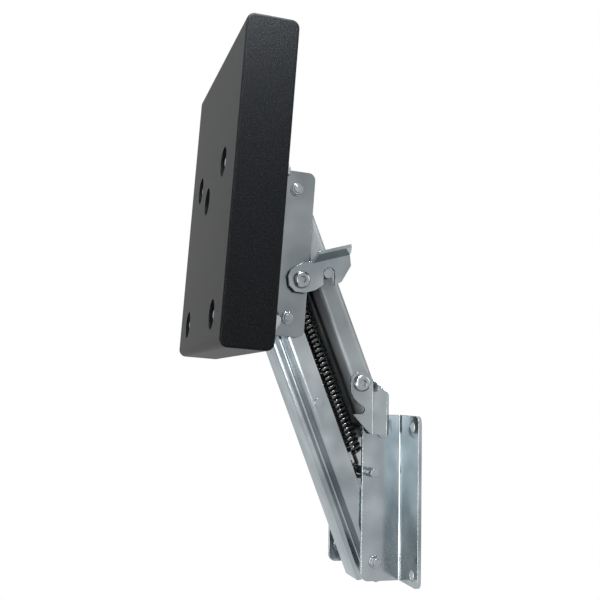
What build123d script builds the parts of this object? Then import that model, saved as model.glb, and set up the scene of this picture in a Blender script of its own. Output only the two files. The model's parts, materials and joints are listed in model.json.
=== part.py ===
from build123d import *
import math
import os

# Folding outboard motor bracket in its raised position, in millimetres.
# Origin: middle of the four transom bolt holes, on the face that meets the transom.
# +X points into the boat, +Y to the right seen from the boat, +Z up.

# linkage
arm_length = 211.0          # between an arm's two pivots
arm_angle = 21.8            # arms from upright, leaning away from the boat
pivot_spacing = 106.5       # between the two pivots on either bracket
lean = 3.3                  # pivot line and board from upright, towards the boat
lower_pivot_x = -24.0
lower_pivot_z = -52.0

# sheet and running gaps
bracket_sheet = 3.0
arm_sheet = 2.0
plate_sheet = 2.5           # lever and latch plates
arm_half_width = 41.0
side_gap = 1.5              # arm wall to bracket wall
plate_gap = 3.5             # bracket wall to lever or latch plate
washer_play = 0.05
bend_radius = 1.5           # inside radius of the folded sheet

# side brackets
bracket_depth = 36.0        # transom bracket's wall
motor_bracket_depth = 38.5
flange_width = 38.5
transom_height = 134.0
motor_bracket_below = 15.0  # under the lower pivot
motor_bracket_above = 15.5  # over the upper pivot
motor_flange_extra = 4.0    # the flange stands above the wall
board_gap = 23.2            # pivots to the board's back face
corner_radius = 6.0
transom_hole_out = 26.5     # from the bracket's wall
transom_hole_z = 58.0
transom_hole_radius = 4.5

# arms, measured across the arm from its pivot line
lower_wall_top = 11.0
lower_shoulder = -4.2
crown_height = 7.8
crown_half_width = 18.0
upper_half_depth = 9.2
lip_width = 22.0
arm_overrun = 13.0          # beyond each pivot
lower_arm_foot = 17.0       # lower arm beyond its transom pivot
web_radius = 6.0
cross_pin_below = 74.0      # along an arm from its motor pivot
tie_pin_across = 2.0

# pins, nuts and washers
pin_radius = 3.0
pin_play = 0.06
nut_flats = 8.5
nut_height = 3.0
spacer_radius = 7.5
outer_washer_radius = 5.2
outer_washer = 0.8
pin_tail = 1.0              # pin beyond its nut
rivet_head = 2.2            # low head where the latch swings past
rivet_head_radius = 6.5
rod_radius = 3.5            # spring anchor rod
rod_reach = 58.0            # its half length
lock_pin_radius = 3.75
lock_pin_gap = 0.4          # its ends stay behind the lever plates
nut_turn = 15.0
tie_head = 1.5              # riveted head of the lower arm's cross pin
tie_head_radius = 3.6

# motor board
board_height = 254.0
board_width = 220.0
board_thickness = 41.5
board_corner = 6.5          # edges that run across the boat
board_edge = 2.0            # the other edges
board_below = 31.9          # board's lower edge under the lower pivot
board_bolt_radius = 4.0
board_bolt_play = 0.3
board_bolt_tail = 2.0       # bolt beyond its nut
shank_root = 1.0            # shank's part inside the head
board_recess_radius = 12.0
board_recess_depth = 9.0
board_head_dome = 11.0      # radius of the bolt head's dome, half of it shows
board_head_height = 7.8
low_bolt_out = 18.5         # from the bracket's wall
low_bolt_up = 27.0          # above the board's lower edge
high_bolt_out = 11.5
high_bolt_up = 150.0
tether_hole_y = 12.0
tether_hole_up = 131.0
board_washer_radius = 8.5
board_washer = 1.6
board_nut_flats = 13.0
board_nut_height = 6.5

# lever, its pivot is also the upper spring rod
lever_pivot_n = 8.4         # from the motor bracket's pivot line
lever_pivot_up = 31.6       # above the lower pivot
screw_head_radius = 7.0
screw_head_height = 4.2
screw_round = 3.0
screw_socket_radius = 3.0
screw_play = 0.3            # head to plate
lever_outline = [
    (-11.0, 3.0), (-9.0, 8.0), (-4.0, 12.0), (8.5, 16.0), (40.7, 25.0), (42.0, 13.9),
    (34.1, 0.1), (28.6, -3.2), (18.6, -3.2), (12.1, -7.7), (3.6, -10.4), (-5.0, -9.8), (-10.0, -5.0),
]
lever_corner = 2.5
lever_notch_play = 1.2
lever_notch_cut = 30.0      # the notch leaves through the plate's lower edge
lever_tab_out = 24.0
lever_tab_up = 4.5
lever_tab_trim = 6.0        # its outer edge is this much shorter than its root
lever_tab_inset = 1.0       # its root ends before the plate's corner

# latch, measured from its bolt on the upper arm
latch_along = 43.5
latch_across = -5.7
latch_boss_radius = 9.5
latch_outline = [
    (-9.3, 2.0), (-8.7, -7.9), (-7.1, -11.9), (-3.2, -15.9), (1.6, -19.0), (3.2, -21.4), (1.6, -25.2),
    (-7.1, -25.4), (-0.8, -32.5), (4.0, -37.3),
]
latch_bend_x = 9.5
latch_foot_z = -41.5
latch_foot_corner = 1.0
latch_tab_top = 4.3
latch_slope_start = (-1.0, 46.0)    # slanted top of the grip, from the bend and above the foot
latch_slope_end = (12.0, 30.0)
latch_tab_out = 12.0
latch_tab_side = 8.0
latch_spacer_radius = 6.0

# springs
spring_rod_x = -29.6
spring_rod_z = 20.2
spring_radius = 8.2
spring_wire = 4.3            # also the pitch of the closed coils
spring_y = 20.0
spring_hook = 15.0          # from a rod's middle to the coils
spring_loop_play = 0.3
spring_stem_root = 1.0      # stem's part inside the coils
spring_disc_inset = 0.1

os.makedirs("parts", exist_ok=True)


# directions and pivots in the XZ plane
def along_arm(s, q, foot):
    a = math.radians(arm_angle)
    return (foot[0] - s * math.sin(a) + q * math.cos(a), foot[1] + s * math.cos(a) + q * math.sin(a))


def on_motor_bracket(n, up):
    a = math.radians(lean)
    x = low_motor[0] + n * math.cos(a) + up * math.sin(a)
    z = low_motor[1] - n * math.sin(a) + up * math.cos(a)
    return (x, z)


low_transom = (lower_pivot_x, lower_pivot_z)
high_transom = (
    lower_pivot_x + pivot_spacing * math.sin(math.radians(lean)),
    lower_pivot_z + pivot_spacing * math.cos(math.radians(lean)),
)
low_motor = along_arm(arm_length, 0, low_transom)
high_motor = along_arm(arm_length, 0, high_transom)
lever_pivot = on_motor_bracket(lever_pivot_n, lever_pivot_up)
lock_pin_at = along_arm(arm_length - cross_pin_below, 0, high_transom)
tie_pin_at = along_arm(arm_length - cross_pin_below, tie_pin_across, low_transom)
latch_pivot = along_arm(latch_along, latch_across, high_transom)
spring_foot = (spring_rod_x, spring_rod_z)

wall_inner = arm_half_width + side_gap
wall_outer = wall_inner + bracket_sheet
low_bolt_y = wall_outer + low_bolt_out
high_bolt_y = wall_outer + high_bolt_out
transom_hole_y = wall_outer + transom_hole_out
plate_inner = wall_outer + plate_gap
plate_outer = plate_inner + plate_sheet


# flat shapes are drawn in XZ and carried along Y
def face_plane(y):
    return Plane(origin=(0, y, 0), x_dir=(1, 0, 0), z_dir=(0, -1, 0))


def slab(sketch, y_low, y_high):
    return extrude(face_plane(y_high) * sketch, amount=y_high - y_low)


def rod(at, radius, y_low, y_high):
    return slab(Pos(at[0], at[1]) * Circle(radius), y_low, y_high)


def ring(at, radius, bore, y_low, y_high):
    return slab(Pos(at[0], at[1]) * (Circle(radius) - Circle(bore)), y_low, y_high)


def hex_nut(at, flats, bore, y_low, y_high):
    nut = Rot(0, 0, nut_turn) * RegularPolygon(flats / math.sqrt(3), 6) - Circle(bore)
    return slab(Pos(at[0], at[1]) * nut, y_low, y_high)


def mirrored(shape):
    return mirror(shape, about=Plane.XZ)


def both_sides(shape):
    return [shape, mirrored(shape)]


def save(name, solids):
    shape = Compound(children=solids) if isinstance(solids, list) else solids
    shape.label = name
    export_step(shape, "parts/" + name + ".step")


# an angle of sheet on the -Y side: the wall runs to -X, the flange runs to -Y on x = 0
def side_angle(depth, z_low, wall_high, flange_high):
    t, r = bracket_sheet, bend_radius
    outer_y = -(wall_inner + flange_width + bracket_sheet)
    outline = Polyline(
        (-depth, -wall_inner), (0, -wall_inner), (0, outer_y), (-t, outer_y),
        (-t, -wall_outer), (-depth, -wall_outer), close=True,
    )
    section = make_face(outline)
    inside = section.vertices().sort_by_distance((-t, -wall_outer))[0]
    section = fillet(inside, r)
    outside = section.vertices().sort_by_distance((0, -wall_inner))[0]
    section = fillet(outside, r + t)
    body = extrude(Pos(0, 0, z_low) * section, amount=flange_high - z_low)
    if flange_high > wall_high:
        low_corner = (Align.MIN, Align.CENTER, Align.MIN)
        cut = Box(depth - t - r, 2 * t + side_gap, flange_high - wall_high, align=low_corner)
        body -= Pos(-depth, -(wall_inner + wall_outer) / 2, wall_high) * cut
    wall_corners = body.edges().filter_by(Axis.Y).group_by(Axis.X)[0]
    body = fillet(wall_corners, corner_radius)
    flange_corners = body.edges().filter_by(Axis.X).group_by(Axis.Y)[0]
    return fillet(flange_corners, corner_radius)


def pivot_holes(points, radius=pin_radius):
    return [rod(p, radius + pin_play, -rod_reach, rod_reach) for p in points]


# transom brackets
transom_left = side_angle(bracket_depth, -transom_height / 2, transom_height / 2, transom_height / 2)
for hole_z in (-transom_hole_z, transom_hole_z):
    hole = Cylinder(transom_hole_radius, 4 * bracket_sheet, rotation=(0, 90, 0))
    transom_left -= Pos(0, -transom_hole_y, hole_z) * hole
for hole in pivot_holes([low_transom, high_transom]) + pivot_holes([spring_foot], rod_radius):
    transom_left -= hole
save("transom_bracket_left", transom_left)
save("transom_bracket_right", mirrored(transom_left))

# motor brackets: the same angle turned round, its flange on the board's back face
motor_place = Pos(low_motor[0], 0, low_motor[1]) * Rot(0, lean, 0)
flange_top = pivot_spacing + motor_bracket_above + motor_flange_extra
wall_top = pivot_spacing + motor_bracket_above
turned = Rot(0, 0, 180) * side_angle(motor_bracket_depth, -motor_bracket_below, wall_top, flange_top)
motor_left = motor_place * Pos(-board_gap, 0, 0) * mirrored(turned)
for hole in pivot_holes([low_motor, high_motor, lever_pivot]):
    motor_left -= hole
bolt_places = [
    (low_bolt_y, low_bolt_up - board_below), (high_bolt_y, high_bolt_up - board_below),
]
for bolt_y, up in bolt_places:
    bore = Cylinder(board_bolt_radius + board_bolt_play, 4 * bracket_sheet, rotation=(0, 90, 0))
    motor_left -= motor_place * Pos(-board_gap, -bolt_y, up) * bore
save("motor_bracket_left", motor_left)
save("motor_bracket_right", mirrored(motor_left))

# motor board with four bolt recesses and one plain recessed hole
board = Box(board_thickness, board_width, board_height, align=(Align.MAX, Align.CENTER, Align.MIN))
board = fillet(board.edges().filter_by(Axis.Y), board_corner)
board = fillet(board.edges().group_by(Axis.Y)[0] + board.edges().group_by(Axis.Y)[-1], board_edge)
on_end = (Align.CENTER, Align.CENTER, Align.MIN)
recess = Cylinder(board_recess_radius, board_recess_depth, rotation=(0, 90, 0), align=on_end)
through = Cylinder(board_bolt_radius + board_bolt_play, 3 * board_thickness, rotation=(0, 90, 0))
recess_places = [(s * y, up + board_below) for y, up in bolt_places for s in (-1, 1)]
for y, up in recess_places + [(tether_hole_y, tether_hole_up)]:
    board -= Pos(-board_thickness, y, up) * recess
    board -= Pos(0, y, up) * through
board_place = motor_place * Pos(-board_gap, 0, -board_below)
save("motor_board", board_place * board)

# board bolts, washers and nuts, built at x = 0 on the board's back face
head_x = -board_thickness + board_recess_depth
head_edge = board_head_dome * math.cos(math.radians(30))
skirt_height = board_head_height - board_head_dome / 2
dome_centre = skirt_height - board_head_dome / 2
dome_middle = (board_head_dome / 2, dome_centre + head_edge)
head_face = make_face(Wire([
    Line((0, 0), (head_edge, 0)), Line((head_edge, 0), (head_edge, skirt_height)),
    ThreePointArc((head_edge, skirt_height), dome_middle, (0, board_head_height)),
    Line((0, board_head_height), (0, 0)),
]))
head = Pos(head_x, 0, 0) * Rot(0, -90, 0) * revolve(Plane.XZ * head_face, axis=Axis.Z)
nut_x = bracket_sheet + board_washer
shank_length = nut_x + board_nut_height + board_bolt_tail - head_x + shank_root
shank = Cylinder(board_bolt_radius, shank_length, rotation=(0, 90, 0), align=on_end)
board_bolt = head + Pos(head_x - shank_root, 0, 0) * shank
washer = Pos(bracket_sheet, 0, 0) * Rot(0, 90, 0) * extrude(
    Circle(board_washer_radius) - Circle(board_bolt_radius + pin_play), amount=board_washer
)
nut = Pos(nut_x, 0, 0) * Rot(0, 90, 0) * extrude(
    RegularPolygon(board_nut_flats / math.sqrt(3), 6) - Circle(board_bolt_radius), amount=board_nut_height
)
save("board_bolts", [board_place * Pos(0, y, up) * board_bolt for y, up in recess_places])
save("board_washers", [board_place * Pos(0, y, up) * washer for y, up in recess_places])
save("board_nuts", [board_place * Pos(0, y, up) * nut for y, up in recess_places])


# an arm's section is drawn across the arm (Y, q) and carried along it
def arm_sweep(points, foot, corners, below=arm_overrun):
    outline = make_face(Polyline(*points, close=True))
    for x, y, radius in corners:
        vertex = outline.vertices().sort_by_distance((x, y))[0]
        outline = fillet(vertex, radius)
    low = along_arm(-below, 0, foot)
    a = math.radians(arm_angle)
    plane = Plane(origin=(low[0], 0, low[1]), x_dir=(0, 1, 0), z_dir=(-math.sin(a), 0, math.cos(a)))
    # the plane's own y direction is z_dir crossed with x_dir, that is -q
    return extrude(plane * mirror(outline, about=Plane.XZ), amount=arm_length + below + arm_overrun)


def symmetric(points):
    return points + [(-y, q) for y, q in reversed(points)]


w, t = arm_half_width, arm_sheet
crown = lower_shoulder - crown_height
half_outer = [
    (-w, lower_wall_top), (-w, lower_shoulder),
    (-crown_half_width, lower_shoulder), (-crown_half_width, crown),
]
half_inner = [
    (-(w - t), lower_wall_top), (-(w - t), lower_shoulder + t),
    (-(crown_half_width - t), lower_shoulder + t), (-(crown_half_width - t), crown + t),
]
lower_points = symmetric(half_outer) + list(reversed(symmetric(half_inner)))
lower_corners = []
crown_inner = crown_half_width - t
for side in (-1, 1):
    lower_corners += [
        (side * w, lower_shoulder, bend_radius + t), (side * (w - t), lower_shoulder + t, bend_radius),
        (side * crown_half_width, crown, bend_radius + t), (side * crown_inner, crown + t, bend_radius),
        (side * crown_half_width, lower_shoulder, bend_radius),
        (side * crown_inner, lower_shoulder + t, bend_radius + t),
    ]
lower_arm = arm_sweep(lower_points, low_transom, lower_corners, lower_arm_foot)
for hole in pivot_holes([low_transom, low_motor, tie_pin_at]):
    lower_arm -= hole
save("lower_arm", lower_arm)

d = upper_half_depth
lip = w - lip_width
half_outer = [(-lip, -d), (-w, -d), (-w, d)]
half_inner = [(-lip, -d + t), (-(w - t), -d + t), (-(w - t), d - t)]
upper_points = symmetric(half_outer) + list(reversed(symmetric(half_inner)))
upper_corners = []
for side in (-1, 1):
    upper_corners += [
        (side * w, -d, bend_radius + t), (side * (w - t), -d + t, bend_radius),
        (side * w, d, web_radius), (side * (w - t), d - t, web_radius - t),
    ]
upper_arm = arm_sweep(upper_points, high_transom, upper_corners)
for hole in pivot_holes([high_transom, high_motor]) + pivot_holes([lock_pin_at], lock_pin_radius):
    upper_arm -= hole
latch_shank_start = arm_half_width - arm_sheet
for hole in both_sides(rod(latch_pivot, pin_radius + pin_play, -arm_half_width - 1, -latch_shank_start)):
    upper_arm -= hole
save("upper_arm", upper_arm)

# pivot pins with a washer and nut on each end
nut_start = wall_outer + outer_washer
pin_end = nut_start + nut_height + pin_tail


def cross_pin(at, reach):
    return rod(at, pin_radius, -reach, reach)


def pin_nuts(points, start):
    nuts = [hex_nut(p, nut_flats, pin_radius, -start - nut_height, -start) for p in points]
    return [s for nut in nuts for s in both_sides(nut)]


def pin_washers(points, start, thickness, radius):
    rings = [ring(p, radius, pin_radius + pin_play, -start - thickness, -start) for p in points]
    return [s for washer in rings for s in both_sides(washer)]


save("lower_transom_pin", cross_pin(low_transom, pin_end))
rivet_reach = wall_outer + washer_play
rivet = cross_pin(high_transom, rivet_reach + rivet_head)
for side in (-1, 1):
    low_y, high_y = sorted((side * rivet_reach, side * (rivet_reach + rivet_head)))
    rivet += rod(high_transom, rivet_head_radius, low_y, high_y)
save("upper_transom_pin", rivet)
save("lower_motor_pin", cross_pin(low_motor, pin_end))
save("upper_motor_pin", cross_pin(high_motor, pin_end))
save("spring_anchor_rod", rod(spring_foot, rod_radius, -rod_reach, rod_reach))
save("transom_nuts", pin_nuts([low_transom], nut_start))
save("motor_nuts", pin_nuts([low_motor, high_motor], nut_start))
save("transom_washers", pin_washers([low_transom], wall_outer, outer_washer, outer_washer_radius))
save("motor_washers", pin_washers([low_motor, high_motor], wall_outer, outer_washer, outer_washer_radius))
gap_start = arm_half_width + washer_play
gap_thickness = side_gap - 2 * washer_play
save("lower_arm_spacers", pin_washers([low_transom, low_motor], gap_start, gap_thickness, spacer_radius))
save("upper_arm_spacers", pin_washers([high_transom, high_motor], gap_start, gap_thickness, spacer_radius))

# cross pin riveted through the lower arm
rivet = cross_pin(tie_pin_at, arm_half_width + tie_head / 2)
for side in (-1, 1):
    low_y, high_y = sorted((side * arm_half_width, side * (arm_half_width + tie_head)))
    rivet += rod(tie_pin_at, tie_head_radius, low_y, high_y)
save("lower_arm_tie_pin", rivet)

# lock pin through the upper arm, ending just behind the lever plates
lock_reach = plate_inner - lock_pin_gap
save("lock_pin", rod(lock_pin_at, lock_pin_radius, -lock_reach, lock_reach))


# socket screw with its head outside the -Y plate
def socket_head(at, start):
    head = rod(at, screw_head_radius, -start - screw_head_height, -start)
    rim = head.edges().filter_by(GeomType.CIRCLE).group_by(Axis.Y)[0]
    head = fillet(rim, screw_round)
    socket = Pos(at[0], at[1]) * RegularPolygon(screw_socket_radius, 6)
    return head - slab(socket, -start - screw_head_height - 1, -start - screw_head_height / 3)


# lever: two notched plates on a pivot rod that also holds the springs
notch_half = lock_pin_radius + lever_notch_play
lock_x, lock_z = lock_pin_at[0] - lever_pivot[0], lock_pin_at[1] - lever_pivot[1]
lever_sketch = make_face(Polyline(*lever_outline, close=True))
lever_sketch = fillet(lever_sketch.vertices().sort_by(Axis.X)[:6], lever_corner)
notch = Pos(lock_x, lock_z) * Circle(notch_half)
notch += Pos(lock_x, lock_z - lever_notch_cut / 2) * Rectangle(2 * notch_half, lever_notch_cut)
lever_sketch = lever_sketch - notch - Circle(pin_radius + pin_play)
lever_place = Pos(lever_pivot[0], lever_pivot[1])
lever_left = slab(lever_place * lever_sketch, -plate_outer, -plate_inner)
tab_edge = -lever_tab_out - plate_sheet
tab_face = make_face(Polyline(
    (0, 0), (tab_edge, lever_tab_up), (tab_edge, lever_tab_up + plate_sheet), (0, plate_sheet), close=True,
))
tab_from, tab_to = lever_outline[3], lever_outline[4]
tab_length = math.hypot(tab_to[0] - tab_from[0], tab_to[1] - tab_from[1])
tab_dir = ((tab_to[0] - tab_from[0]) / tab_length, (tab_to[1] - tab_from[1]) / tab_length)
tab_plane = Plane(
    origin=(
        lever_pivot[0] + tab_from[0] + plate_sheet * tab_dir[1], -plate_outer + plate_sheet,
        lever_pivot[1] + tab_from[1] - plate_sheet * tab_dir[0],
    ),
    x_dir=(0, 1, 0), z_dir=(tab_dir[0], 0, tab_dir[1]),
)
tab = extrude(tab_face, amount=tab_length - lever_tab_inset)
trim_face = Plane.XZ * make_face(Polyline(
    (tab_edge - 1, tab_length + 1), (tab_edge - 1, tab_length - lever_tab_trim), (0, tab_length + 1),
    close=True,
))
tab -= extrude(trim_face, amount=lever_tab_out, both=True)
lever_left += tab_plane * tab
save("lever_left", lever_left)
save("lever_right", mirrored(lever_left))
lever_rod = cross_pin(lever_pivot, plate_outer + screw_play)
lever_rod += Compound(children=both_sides(socket_head(lever_pivot, plate_outer + screw_play)))
save("lever_pivot_rod", lever_rod)
spacer_start = wall_outer + washer_play
save("lever_spacers", pin_washers([lever_pivot], spacer_start, plate_gap - 2 * washer_play, spacer_radius))

# latch: boss round its bolt, a mouth that catches the spring anchor rod, a bent grip
edge = latch_bend_x
latch_shape = make_face(Polyline(
    *latch_outline, (edge - latch_foot_corner, latch_foot_z), (edge, latch_foot_z), (edge, 2.0),
    close=True,
))
latch_shape += Circle(latch_boss_radius)
latch_shape -= Circle(pin_radius + pin_play)
latch_place = Pos(latch_pivot[0], latch_pivot[1])
latch_left = slab(latch_place * latch_shape, -plate_outer, -plate_inner)
grip_face = make_face(Polyline(
    (0, 0), (latch_tab_side, -latch_tab_out),
    (latch_tab_side + plate_sheet * 0.8, -latch_tab_out + plate_sheet * 0.5),
    (plate_sheet * 0.6, plate_sheet), (0, plate_sheet), close=True,
))
grip_at = Pos(latch_pivot[0] + latch_bend_x, -plate_outer, latch_pivot[1] + latch_foot_z)
grip_height = latch_tab_top - latch_foot_z
grip = grip_at * extrude(grip_face, amount=grip_height)
slope_cut = Polyline(
    latch_slope_start, latch_slope_end, (latch_slope_end[0], 2 * grip_height),
    (latch_slope_start[0], 2 * grip_height), close=True,
)
slope_plane = Plane(
    origin=(latch_pivot[0] + latch_bend_x, -plate_inner, latch_pivot[1] + latch_foot_z),
    x_dir=(1, 0, 0), z_dir=(0, -1, 0),
)
grip -= extrude(slope_plane * make_face(slope_cut), amount=2 * latch_tab_out)
latch_left += grip
save("latch_left", latch_left)
save("latch_right", mirrored(latch_left))
latch_bolt = rod(latch_pivot, pin_radius, -plate_outer - screw_play, -latch_shank_start)
latch_bolt += socket_head(latch_pivot, plate_outer + screw_play)
save("latch_bolts", both_sides(latch_bolt))
latch_gap = plate_inner - arm_half_width - 2 * washer_play
save("latch_spacers", pin_washers([latch_pivot], gap_start, latch_gap, latch_spacer_radius))

# close-wound extension spring between the anchor rod and the lever's pivot rod
span_x, span_z = lever_pivot[0] - spring_foot[0], lever_pivot[1] - spring_foot[1]
span = math.hypot(span_x, span_z)
coil_length = span - 2 * spring_hook
turns = round(coil_length / spring_wire)
pitch = coil_length / turns
profile = [(spring_radius - spring_wire, 0), (spring_radius - spring_wire / 2, 0)]
coil_edges = [Line(profile[0], profile[1])]
for k in range(turns):
    low, high = k * pitch, (k + 1) * pitch
    valley = spring_radius - spring_wire / 2
    coil_edges.append(ThreePointArc((valley, low), (spring_radius, (low + high) / 2), (valley, high)))
bore_edge = spring_radius - spring_wire
coil_edges.append(Line((spring_radius - spring_wire / 2, coil_length), (bore_edge, coil_length)))
coil_edges.append(Line((bore_edge, coil_length), (bore_edge, 0)))
coil = revolve(Plane.XZ * make_face(Wire(coil_edges)), axis=Axis.Z)
loop_radius = rod_radius + spring_wire / 2 + spring_loop_play
loop = Rot(90, 0, 0) * Torus(loop_radius, spring_wire / 2)
stem_length = spring_hook - loop_radius + spring_stem_root
stem = Pos(0, 0, loop_radius) * Cylinder(spring_wire / 2, stem_length, align=on_end)
end = loop + stem
disc_radius = spring_radius - spring_wire / 2 - spring_disc_inset
end_disc = Cylinder(disc_radius, spring_wire / 2, align=on_end)
tilt = math.degrees(math.atan2(span_x, span_z))
spring_place = Pos(spring_foot[0], 0, spring_foot[1]) * Rot(0, tilt, 0)
foot = Pos(0, 0, spring_hook) * end_disc
spring = spring_place * (Pos(0, 0, spring_hook) * coil + end + foot)
above_hook = Pos(0, 0, spring_hook) * Cylinder(2 * spring_radius, 2 * spring_hook, align=on_end)
upper_hook = spring_place * Pos(0, 0, span) * Rot(180, 0, 0) * (end - above_hook)
save("lift_spring_left", Pos(0, -spring_y, 0) * spring)
save("lift_spring_right", Pos(0, spring_y, 0) * spring)
save("spring_hook_left", Pos(0, -spring_y, 0) * upper_hook)
save("spring_hook_right", Pos(0, spring_y, 0) * upper_hook)
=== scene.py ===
import json
import math

import bpy
import numpy as np
from mathutils import Matrix, Vector


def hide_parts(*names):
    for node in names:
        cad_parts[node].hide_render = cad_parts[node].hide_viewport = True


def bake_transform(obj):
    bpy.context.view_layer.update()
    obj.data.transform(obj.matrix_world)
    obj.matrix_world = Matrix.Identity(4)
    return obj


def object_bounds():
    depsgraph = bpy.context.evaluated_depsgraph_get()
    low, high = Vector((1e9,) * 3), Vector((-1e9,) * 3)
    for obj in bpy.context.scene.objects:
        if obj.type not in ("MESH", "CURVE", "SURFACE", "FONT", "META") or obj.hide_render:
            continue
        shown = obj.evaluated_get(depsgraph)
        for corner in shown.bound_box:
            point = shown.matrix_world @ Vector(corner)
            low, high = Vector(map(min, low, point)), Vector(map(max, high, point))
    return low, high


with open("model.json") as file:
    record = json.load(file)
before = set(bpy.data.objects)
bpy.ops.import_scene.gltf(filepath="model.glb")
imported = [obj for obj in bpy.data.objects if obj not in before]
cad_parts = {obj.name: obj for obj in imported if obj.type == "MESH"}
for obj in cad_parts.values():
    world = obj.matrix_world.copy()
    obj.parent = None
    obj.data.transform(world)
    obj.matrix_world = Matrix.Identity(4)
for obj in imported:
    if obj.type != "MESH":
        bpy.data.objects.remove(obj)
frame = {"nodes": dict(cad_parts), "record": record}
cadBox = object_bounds()
print("frame loaded")

# lengths are in millimetres, apart from those of the shader nodes, which are in metres or per metre
mm = 0.001

steelLook = {
    "tint": (0.40, 0.437, 0.453), "darkTint": (0.225, 0.255, 0.27), "edgeTint": (0.80, 0.83, 0.85),
    "metallic": 1.0, "specular": 0.5, "roughness": 0.15, "roughnessSpread": 0.10,
}
satinLook = {
    "tint": (0.26, 0.284, 0.292), "darkTint": (0.19, 0.21, 0.22), "edgeTint": (0.14, 0.16, 0.17),
    "metallic": 0.40, "specular": 0.10, "roughness": 0.36, "roughnessSpread": 0.12,
}
# the sheet steel made darker for the motor brackets: painted shade, where less light falls on them than on
# the rest
shadedMotorBracketLook = {
    "tint": (0.265, 0.292, 0.302), "darkTint": (0.175, 0.196, 0.206), "edgeTint": (0.50, 0.53, 0.55),
    "metallic": 1.0, "specular": 0.5, "roughness": 0.20, "roughnessSpread": 0.10,
}
fastenerLook = {
    "tint": (0.43, 0.46, 0.475), "darkTint": (0.25, 0.275, 0.29), "edgeTint": (0.70, 0.73, 0.75),
    "metallic": 1.0, "specular": 0.5, "roughness": 0.20, "roughnessSpread": 0.06,
}
# what the four steels share; brushScale is across, across and along the brushing
brushing = {
    "brushScale": (900.0, 900.0, 24.0), "brushSlopeDegrees": 21.8, "brushDetail": 3.0,
    "brushDepth": 0.00004, "brushStrength": 0.5,
    "cloudScale": 24.0, "cloudDetail": 2.0, "cloudLow": 0.35, "cloudHigh": 0.68,
    "wornEdgeRadius": 0.0007, "wornEdgeSamples": 4,
}
boardLook = {
    "tint": (0.0035, 0.0040, 0.0046), "paleTint": (0.021, 0.0225, 0.025),
    "roughness": 0.40, "specular": 0.03, "grainScale": 1300.0, "grainDepth": 0.00025,
}
springLook = {
    "tint": (0.004, 0.004, 0.004), "paleTint": (0.006, 0.006, 0.006),
    "roughness": 0.12, "specular": 0.95, "grainScale": 700.0, "grainDepth": 0.00003,
}
graining = {"detail": 2.0, "low": 0.52, "high": 0.75, "strength": 0.6}

# foot and head are the hooks' centres in X and Z, sides their places in Y
springShape = {
    "foot": (-29.6, 20.2), "head": (-92.1535, 174.9746), "sides": (-20.0, 20.0),
    "meanRadius": 6.35, "wireRadius": 1.75, "turns": 32, "easeTurns": 0.5,
    "hook": 15.0, "hookRadius": 5.95, "hookDegrees": 285, "stemGap": 3.2,
    "hookSteps": 30, "stemSteps": 8, "stepsPerTurn": 26, "ringSteps": 10,
}
cameraPlace = {
    "position": (-281.2, -751.6, 86.0),
    "right": (0.9650, -0.2613, 0.0201),
    "forward": (0.2581, 0.9610, 0.0994),
    "lens": 54.0, "sensorWidth": 36.0, "nearMetres": 0.01, "farMetres": 50.0,
}
roomLook = {
    "background": (1.0, 1.0, 1.0), "ambient": (0.86, 0.88, 0.90), "ambientStrength": 0.16,
    "floorDrop": 190.0, "floorReach": 4000.0, "floorTint": (0.90, 0.90, 0.90), "floorRoughness": 0.9,
}
# name, place, point aimed at, diameter, watts
lamps = [
    ("keyLamp", (-1300, -1000, 1100), (-80, 0, 150), 800, 19.0),
    ("boatSideLamp", (1300, -700, 700), (-60, 0, 120), 1000, 5.0),
    ("topLamp", (-100, 500, 1500), (-80, 0, 150), 1000, 9.0),
    ("boardLamp", (-150, -190, 500), (-145, -110, 330), 140, 4.2),
    ("sideLamp", (-800, -1500, 120), (-30, -40, 0), 900, 6.0),
    ("lowLamp", (-900, -560, -220), (-60, -20, 120), 600, 8.0),
]


# a group whose inputs are (name, kind, default) and whose outputs are (name, kind)
def newGroup(name, inputs, outputs):
    group = bpy.data.node_groups.new(name, "ShaderNodeTree")
    for label, kind, value in inputs:
        group.interface.new_socket(label, in_out="INPUT", socket_type=kind).default_value = value
    for label, kind in outputs:
        group.interface.new_socket(label, in_out="OUTPUT", socket_type=kind)
    return group, group.nodes.new("NodeGroupInput"), group.nodes.new("NodeGroupOutput")


# a node with its settings, and with values for its unlinked sockets
def newNode(tree, kind, settings=None, values=None):
    node = tree.nodes.new(kind)
    for label, setting in (settings or {}).items():
        setattr(node, label, setting)
    for label, value in (values or {}).items():
        node.inputs[label].default_value = value
    return node


def joinAll(tree, pairs):
    for source, target in pairs:
        tree.links.new(source, target)


def opaque(colour):
    return (*colour, 1.0)


# mixes two colours, and gives its factor, first colour, second colour and result
def colourMix(tree):
    mix = newNode(tree, "ShaderNodeMix", {"data_type": "RGBA"})
    first, second = [s for s in mix.inputs if s.type == "RGBA"]
    result = next(s for s in mix.outputs if s.type == "RGBA")
    return mix.inputs["Factor"], first, second, result


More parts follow.
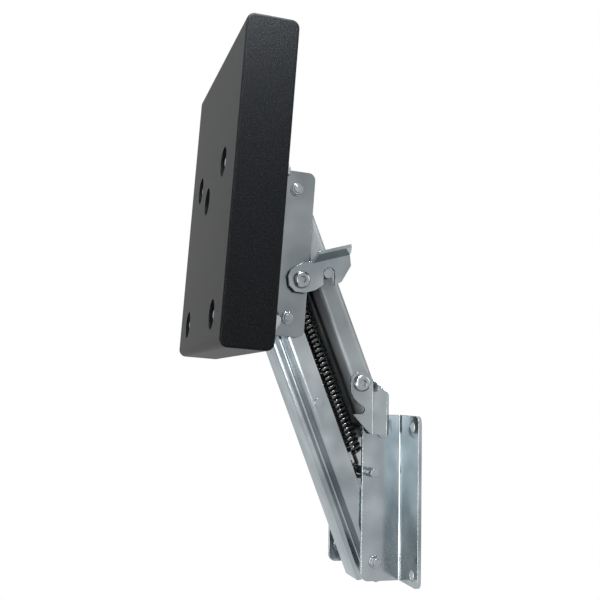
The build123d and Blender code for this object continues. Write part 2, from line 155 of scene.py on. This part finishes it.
# brushed steel's variation: long fine streaks that follow the arms' slope, with slow clouds over them
def makeBrushGroup():
    group, given, out = newGroup(
        "brushedVariation",
        [("Scale", "NodeSocketVector", (1, 1, 1)),
         ("Cloud Scale", "NodeSocketFloat", 10.0),
         ("Tint", "NodeSocketColor", (0.5, 0.5, 0.5, 1)),
         ("Dark Tint", "NodeSocketColor", (0.3, 0.3, 0.3, 1)),
         ("Roughness", "NodeSocketFloat", 0.25),
         ("Spread", "NodeSocketFloat", 0.1)],
        [("Color", "NodeSocketColor"), ("Roughness", "NodeSocketFloat"), ("Streaks", "NodeSocketFloat")],
    )
    place = newNode(group, "ShaderNodeTexCoord").outputs["Object"]
    slope = newNode(group, "ShaderNodeVectorRotate", {"rotation_type": "Y_AXIS"},
                    {"Angle": math.radians(brushing["brushSlopeDegrees"])})
    stretch = newNode(group, "ShaderNodeVectorMath", {"operation": "MULTIPLY"})
    streaks = newNode(group, "ShaderNodeTexNoise", values={"Scale": 1.0, "Detail": brushing["brushDetail"]})
    clouds = newNode(group, "ShaderNodeTexNoise", values={"Detail": brushing["cloudDetail"]})
    tone = newNode(group, "ShaderNodeMapRange",
                   values={"From Min": brushing["cloudLow"], "From Max": brushing["cloudHigh"]})
    share, dark, pale, tint = colourMix(group)
    rough = newNode(group, "ShaderNodeMath", {"operation": "MULTIPLY_ADD"})
    joinAll(group, [
        (place, slope.inputs["Vector"]),
        (slope.outputs["Vector"], stretch.inputs[0]),
        (given.outputs["Scale"], stretch.inputs[1]),
        (stretch.outputs["Vector"], streaks.inputs["Vector"]),
        (place, clouds.inputs["Vector"]),
        (given.outputs["Cloud Scale"], clouds.inputs["Scale"]),
        (clouds.outputs["Fac"], tone.inputs["Value"]),
        (tone.outputs["Result"], share),
        (given.outputs["Dark Tint"], dark),
        (given.outputs["Tint"], pale),
        (streaks.outputs["Fac"], rough.inputs[0]),
        (given.outputs["Spread"], rough.inputs[1]),
        (given.outputs["Roughness"], rough.inputs[2]),
        (tint, out.inputs["Color"]),
        (rough.outputs["Value"], out.inputs["Roughness"]),
        (streaks.outputs["Fac"], out.inputs["Streaks"]),
    ])
    return group


# fine moulded grain: one noise gives both the bumps and the share of the paler tint
def makeGrainGroup():
    group, given, out = newGroup(
        "mouldedGrain",
        [("Scale", "NodeSocketFloat", 900.0),
         ("Tint", "NodeSocketColor", (0.02, 0.02, 0.02, 1)),
         ("Pale Tint", "NodeSocketColor", (0.04, 0.04, 0.04, 1))],
        [("Color", "NodeSocketColor"), ("Height", "NodeSocketFloat")],
    )
    place = newNode(group, "ShaderNodeTexCoord").outputs["Object"]
    grain = newNode(group, "ShaderNodeTexNoise", values={"Detail": graining["detail"]})
    sharpen = newNode(group, "ShaderNodeMapRange",
                      values={"From Min": graining["low"], "From Max": graining["high"]})
    share, dark, pale, tint = colourMix(group)
    joinAll(group, [
        (place, grain.inputs["Vector"]),
        (given.outputs["Scale"], grain.inputs["Scale"]),
        (grain.outputs["Fac"], sharpen.inputs["Value"]),
        (sharpen.outputs["Result"], share),
        (given.outputs["Tint"], dark),
        (given.outputs["Pale Tint"], pale),
        (tint, out.inputs["Color"]),
        (grain.outputs["Fac"], out.inputs["Height"]),
    ])
    return group


def newMaterial(name):
    material = bpy.data.materials.new(name)
    material.use_nodes = True
    return material, material.node_tree, material.node_tree.nodes["Principled BSDF"]


def makeSteel(name, group, look):
    material, tree, shader = newMaterial(name)
    vary = newNode(tree, "ShaderNodeGroup", {"node_tree": group}, {
        "Scale": brushing["brushScale"],
        "Cloud Scale": brushing["cloudScale"],
        "Tint": opaque(look["tint"]),
        "Dark Tint": opaque(look["darkTint"]),
        "Roughness": look["roughness"] - look["roughnessSpread"] / 2,
        "Spread": look["roughnessSpread"],
    })
    bump = newNode(tree, "ShaderNodeBump",
                   values={"Strength": brushing["brushStrength"], "Distance": brushing["brushDepth"]})
    worn = newNode(tree, "ShaderNodeBevel", {"samples": brushing["wornEdgeSamples"]},
                   {"Radius": brushing["wornEdgeRadius"]})
    shader.inputs["Metallic"].default_value = look["metallic"]
    shader.inputs["Specular IOR Level"].default_value = look["specular"]
    shader.inputs["Specular Tint"].default_value = opaque(look["edgeTint"])
    joinAll(tree, [
        (worn.outputs["Normal"], bump.inputs["Normal"]),
        (vary.outputs["Color"], shader.inputs["Base Color"]),
        (vary.outputs["Roughness"], shader.inputs["Roughness"]),
        (vary.outputs["Streaks"], bump.inputs["Height"]),
        (bump.outputs["Normal"], shader.inputs["Normal"]),
    ])
    return material


def makeGrained(name, group, look):
    material, tree, shader = newMaterial(name)
    grain = newNode(tree, "ShaderNodeGroup", {"node_tree": group}, {
        "Scale": look["grainScale"], "Tint": opaque(look["tint"]), "Pale Tint": opaque(look["paleTint"]),
    })
    bump = newNode(tree, "ShaderNodeBump",
                   values={"Strength": graining["strength"], "Distance": look["grainDepth"]})
    shader.inputs["Roughness"].default_value = look["roughness"]
    shader.inputs["Specular IOR Level"].default_value = look["specular"]
    joinAll(tree, [
        (grain.outputs["Color"], shader.inputs["Base Color"]),
        (grain.outputs["Height"], bump.inputs["Height"]),
        (bump.outputs["Normal"], shader.inputs["Normal"]),
    ])
    return material


brushGroup, grainGroup = makeBrushGroup(), makeGrainGroup()
sheetSteel = makeSteel("brushedSheetSteel", brushGroup, steelLook)
satinSteel = makeSteel("satinArmSteel", brushGroup, satinLook)
# the motor brackets' darker copy of the sheet steel is painted shade
shadedMotorBracketSteel = makeSteel("motorBracketSteelPaintedShade", brushGroup, shadedMotorBracketLook)
fastenerSteel = makeSteel("polishedFastenerSteel", brushGroup, fastenerLook)
boardPlastic = makeGrained("grainedBlackBoard", grainGroup, boardLook)
springPaint = makeGrained("blackSpringWire", grainGroup, springLook)
slotMaterials = {
    "steel": sheetSteel, "fastener_steel": fastenerSteel, "board": boardPlastic, "spring": springPaint,
}
# nodes whose material differs from that of their slot: the upper arm's satin finish, and for the motor
# brackets a darker copy of the sheet steel, which is painted shade
ownFinishOrPaintedShade = {"upper_arm": satinSteel, "motor_bracket_left": shadedMotorBracketSteel, "motor_bracket_right": shadedMotorBracketSteel}
for part in frame["record"]["subparts"]:
    node = frame["nodes"][part["node"]]
    slotMaterial = slotMaterials[part["material_slot"]]
    node.data.materials.clear()
    node.data.materials.append(ownFinishOrPaintedShade.get(part["node"], slotMaterial))
print("materials placed")


# ring of points carried along a path: each ring is centre + radius * (cos a * side + sin a * up),
# where side and up are kept square to the path by dropping the tangent's share at each step
def tubeAlong(path, radius, ringSteps):
    path = np.asarray(path, float)
    tangent = np.gradient(path, axis=0)
    tangent /= np.linalg.norm(tangent, axis=1, keepdims=True)
    side = np.zeros_like(path)
    offPath = (0.0, 1.0, 0.3)
    start = np.cross(tangent[0], offPath)
    side[0] = start / np.linalg.norm(start)
    for i in range(1, len(path)):
        moved = side[i - 1] - tangent[i] * np.dot(side[i - 1], tangent[i])
        side[i] = moved / np.linalg.norm(moved)
    up = np.cross(tangent, side)
    angle = np.linspace(0, 2 * np.pi, ringSteps, endpoint=False)
    ring = np.cos(angle)[None, :, None] * side[:, None, :] + np.sin(angle)[None, :, None] * up[:, None, :]
    points = (path[:, None, :] + radius * ring).reshape(-1, 3)
    rows, cols = np.meshgrid(np.arange(len(path) - 1), np.arange(ringSteps), indexing="ij")
    a = rows * ringSteps + cols
    b = rows * ringSteps + (cols + 1) % ringSteps
    quads = np.stack([a, b, b + ringSteps, a + ringSteps], axis=-1).reshape(-1, 4)
    caps = [list(range(ringSteps))[::-1], list(range(len(points) - ringSteps, len(points)))]
    return points, quads.tolist() + caps


# faces with four corners are smooth, the tube's end caps stay flat
def newPiece(name, points, faces, material):
    mesh = bpy.data.meshes.new(name)
    mesh.from_pydata((np.asarray(points) * mm).tolist(), [], faces)
    mesh.validate()
    mesh.polygons.foreach_set("use_smooth", [len(p.vertices) == 4 for p in mesh.polygons])
    mesh.materials.append(material)
    piece = bpy.data.objects.new(name, mesh)
    bpy.context.collection.objects.link(piece)
    return piece


# spring's path, z along it from the lower rod: a loop round the rod, a stem,
# a helix (r cos, r sin, pitch * turn) whose radius eases in and out, then the same stem and loop at the top
def springPath(shape, span):
    hook, loopRadius, turns, easeTurns = (shape[k] for k in ("hook", "hookRadius", "turns", "easeTurns"))
    loopAngle = np.radians(np.linspace(-shape["hookDegrees"], 0, shape["hookSteps"]))
    loop = np.stack([loopRadius * np.sin(loopAngle), 0 * loopAngle, loopRadius * np.cos(loopAngle)], axis=1)
    stemZ = np.linspace(loopRadius, hook - shape["stemGap"], shape["stemSteps"])[1:]
    stem = np.stack([0 * stemZ, 0 * stemZ, stemZ], axis=1)
    turn = np.linspace(-easeTurns, turns + easeTurns, int((turns + 2 * easeTurns) * shape["stepsPerTurn"]))
    edge = np.clip(np.minimum(turn + easeTurns, turns + easeTurns - turn) / easeTurns, 0, 1)
    ease = edge * edge * (3 - 2 * edge)
    coilLow = hook + shape["wireRadius"]
    coilHigh = span - hook - shape["wireRadius"]
    height = coilLow + (coilHigh - coilLow) * turn / turns
    radius = shape["meanRadius"] * ease
    helix = np.stack([radius * np.cos(2 * np.pi * turn), radius * np.sin(2 * np.pi * turn), height], axis=1)
    lower = np.concatenate([loop, stem])
    upper = lower[::-1] * (1, 1, -1) + (0, 0, span)
    return np.concatenate([lower, helix, upper])


def buildSprings(shape):
    foot, head = np.array(shape["foot"]), np.array(shape["head"])
    span = float(np.hypot(*(head - foot)))
    lean = (head - foot) / span
    across = np.array([lean[1], -lean[0]])
    path = springPath(shape, span)
    for side, label in zip(shape["sides"], ("left", "right")):
        placed = np.stack([
            foot[0] + path[:, 0] * across[0] + path[:, 2] * lean[0],
            side + path[:, 1],
            foot[1] + path[:, 0] * across[1] + path[:, 2] * lean[1],
        ], axis=1)
        points, faces = tubeAlong(placed, shape["wireRadius"], shape["ringSteps"])
        piece = newPiece("woundSpring_" + label, points, faces, springPaint)
        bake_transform(piece)
        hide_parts("lift_spring_" + label, "spring_hook_" + label)


buildSprings(springShape)
print("springs wound")


# 1 for the named kinds of ray and 0 for all others
def rayMask(tree, kinds):
    rays = newNode(tree, "ShaderNodeLightPath")
    mask = rays.outputs[kinds[0]]
    for kind in kinds[1:]:
        either = newNode(tree, "ShaderNodeMath", {"operation": "MAXIMUM"})
        joinAll(tree, [(mask, either.inputs[0]), (rays.outputs[kind], either.inputs[1])])
        mask = either.outputs["Value"]
    return mask


# white where it is seen, mirrored or seen through, and a dim grey as a light
def buildWorld():
    world = bpy.data.worlds.new("studioWorld")
    bpy.context.scene.world = world
    world.use_nodes = True
    tree = world.node_tree
    tree.nodes.clear()
    ambient = newNode(tree, "ShaderNodeBackground",
                      values={"Color": opaque(roomLook["ambient"]), "Strength": roomLook["ambientStrength"]})
    white = newNode(tree, "ShaderNodeBackground", values={"Color": opaque(roomLook["background"])})
    choose = newNode(tree, "ShaderNodeMixShader")
    out = newNode(tree, "ShaderNodeOutputWorld")
    joinAll(tree, [
        (rayMask(tree, ["Is Camera Ray", "Is Glossy Ray", "Is Transmission Ray"]), choose.inputs["Fac"]),
        (ambient.outputs["Background"], choose.inputs[1]),
        (white.outputs["Background"], choose.inputs[2]),
        (choose.outputs["Shader"], out.inputs["Surface"]),
    ])


def buildLamps():
    for name, place, aim, size, watts in lamps:
        data = bpy.data.lights.new(name, "AREA")
        data.shape = "DISK"
        data.size = size * mm
        data.energy = watts
        holder = bpy.data.objects.new(name, data)
        bpy.context.collection.objects.link(holder)
        place, aim = Vector(place) * mm, Vector(aim) * mm
        holder.location = place
        holder.rotation_euler = (aim - place).to_track_quat("-Z", "Y").to_euler()


# one pale square under the bracket, plain white where it is seen or mirrored
def buildFloor():
    level = cadBox[0].z / mm - roomLook["floorDrop"]
    reach = roomLook["floorReach"]
    corners = [(x * reach, y * reach, level) for x, y in ((-1, -1), (1, -1), (1, 1), (-1, 1))]
    material, tree, shader = newMaterial("paleFloor")
    shader.inputs["Base Color"].default_value = opaque(roomLook["floorTint"])
    shader.inputs["Roughness"].default_value = roomLook["floorRoughness"]
    white = newNode(tree, "ShaderNodeEmission")
    choose = newNode(tree, "ShaderNodeMixShader")
    joinAll(tree, [
        (rayMask(tree, ["Is Camera Ray", "Is Glossy Ray"]), choose.inputs["Fac"]),
        (shader.outputs["BSDF"], choose.inputs[1]),
        (white.outputs["Emission"], choose.inputs[2]),
        (choose.outputs["Shader"], tree.nodes["Material Output"].inputs["Surface"]),
    ])
    newPiece("floor", corners, [[0, 1, 2, 3]], material)


def buildCamera(place):
    right, forward = Vector(place["right"]).normalized(), Vector(place["forward"]).normalized()
    up = right.cross(forward).normalized()
    right = forward.cross(up).normalized()
    data = bpy.data.cameras.new("photoCamera")
    data.lens = place["lens"]
    data.sensor_width = place["sensorWidth"]
    data.clip_start, data.clip_end = place["nearMetres"], place["farMetres"]
    camera = bpy.data.objects.new("photoCamera", data)
    bpy.context.collection.objects.link(camera)
    turn = Matrix((right, up, -forward)).transposed()
    camera.matrix_world = Matrix.Translation(Vector(place["position"]) * mm) @ turn.to_4x4()
    bpy.context.scene.camera = camera


buildWorld()
buildLamps()
buildFloor()
buildCamera(cameraPlace)
bpy.context.scene.view_settings.view_transform = "Standard"
print("room, floor and camera placed")
